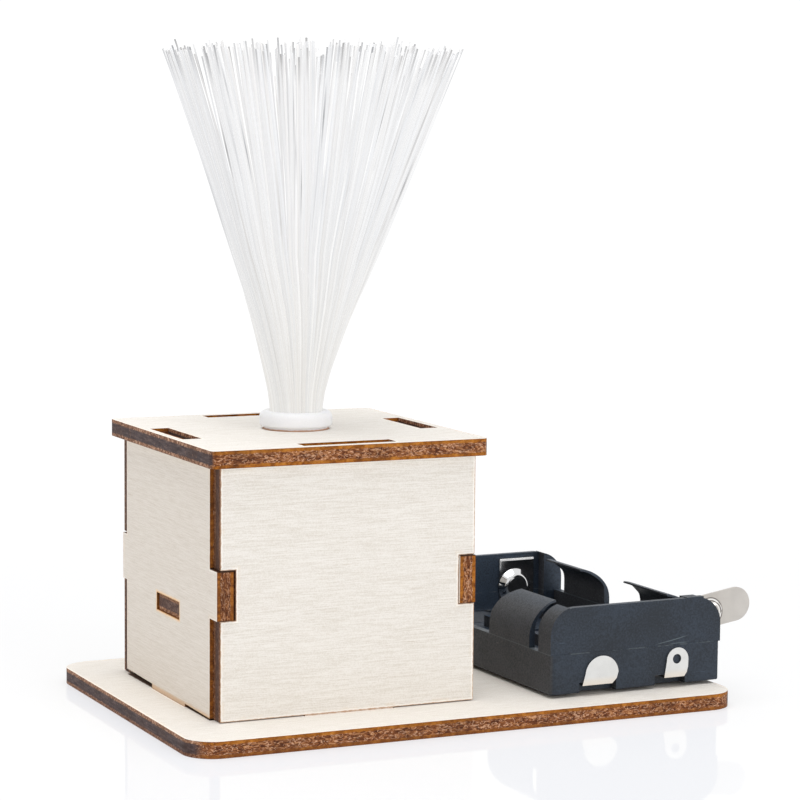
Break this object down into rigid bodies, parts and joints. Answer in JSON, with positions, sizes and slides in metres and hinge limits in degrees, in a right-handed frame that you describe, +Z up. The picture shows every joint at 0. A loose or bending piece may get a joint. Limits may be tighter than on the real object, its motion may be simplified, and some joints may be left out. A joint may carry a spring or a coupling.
{
  "type": "fiber optic lamp",
  "caption": "Small plywood light box on a flat plywood base, with a spray of plastic optical fibres in its lid and an open tray for two AA cells beside it.",
  "frame": {"origin": "on the base plate's underside, the face the lamp stands on, 51.6 mm from its left edge and midway between its front and back edges", "axes": "+Z up; +X along the base's long edge, from the light box towards the battery tray; +Y from the front edge, where the battery terminals are, to the back edge"},
  "size_m": [0.1144, 0.071, 0.1191],
  "materials": {
    "plywood": "matte",
    "led_epoxy": "gloss",
    "tinned_steel": "satin",
    "led_chip": "satin",
    "collar_plastic": "satin",
    "fibre": "gloss",
    "tray_plastic": "matte",
    "foam_tape": "matte",
    "nickel": "satin",
    "spring_wire": "satin"
  },
  "bodies": {
    "base": {"base_plate": "plywood", "front_wall": "plywood", "back_wall": "plywood", "left_wall": "plywood", "right_wall": "plywood", "led_shelf": "plywood", "led_lens": "led_epoxy", "led_anode_lead": "tinned_steel", "led_cathode_lead": "tinned_steel", "led_chip": "led_chip", "battery_tray": "tray_plastic", "foam_tape": "foam_tape", "positive_terminal": "nickel", "negative_terminal": "nickel", "series_bridge": "nickel", "blade_rivet": "nickel"},
    "lid": {"lid": "plywood"},
    "fibre_head": {"fibre_collar": "collar_plastic", "fibre_bundle": "fibre"},
    "switch_blade": {"switch_blade": "nickel"},
    "near_spring": {"near_spring": "spring_wire"},
    "far_spring": {"far_spring": "spring_wire"}
  },
  "joints": [
    {"name": "lid_lift", "type": "slide", "parent": "base", "child": "lid", "axis": [0, 0, 1], "range_m": [0, 0.04]},
    {"name": "fibre_lift", "type": "slide", "parent": "lid", "child": "fibre_head", "axis": [0, 0, 1], "range_m": [0, 0.025]},
    {"name": "blade_swing", "type": "hinge", "parent": "base", "child": "switch_blade", "pos_m": [0.0511, -0.02286, 0.01505], "axis": [0.0227, -0.9997, 0], "range_deg": [-20, 55]},
    {"name": "near_spring_press", "type": "slide", "parent": "base", "child": "near_spring", "axis": [0.0227, -0.9997, 0], "range_m": [0, 0.0035], "stiffness_N_per_m": 250, "deforming": ["near_spring"]},
    {"name": "far_spring_press", "type": "slide", "parent": "base", "child": "far_spring", "axis": [-0.0227, 0.9997, 0], "range_m": [0, 0.0035], "stiffness_N_per_m": 250, "deforming": ["far_spring"]}
  ]
}
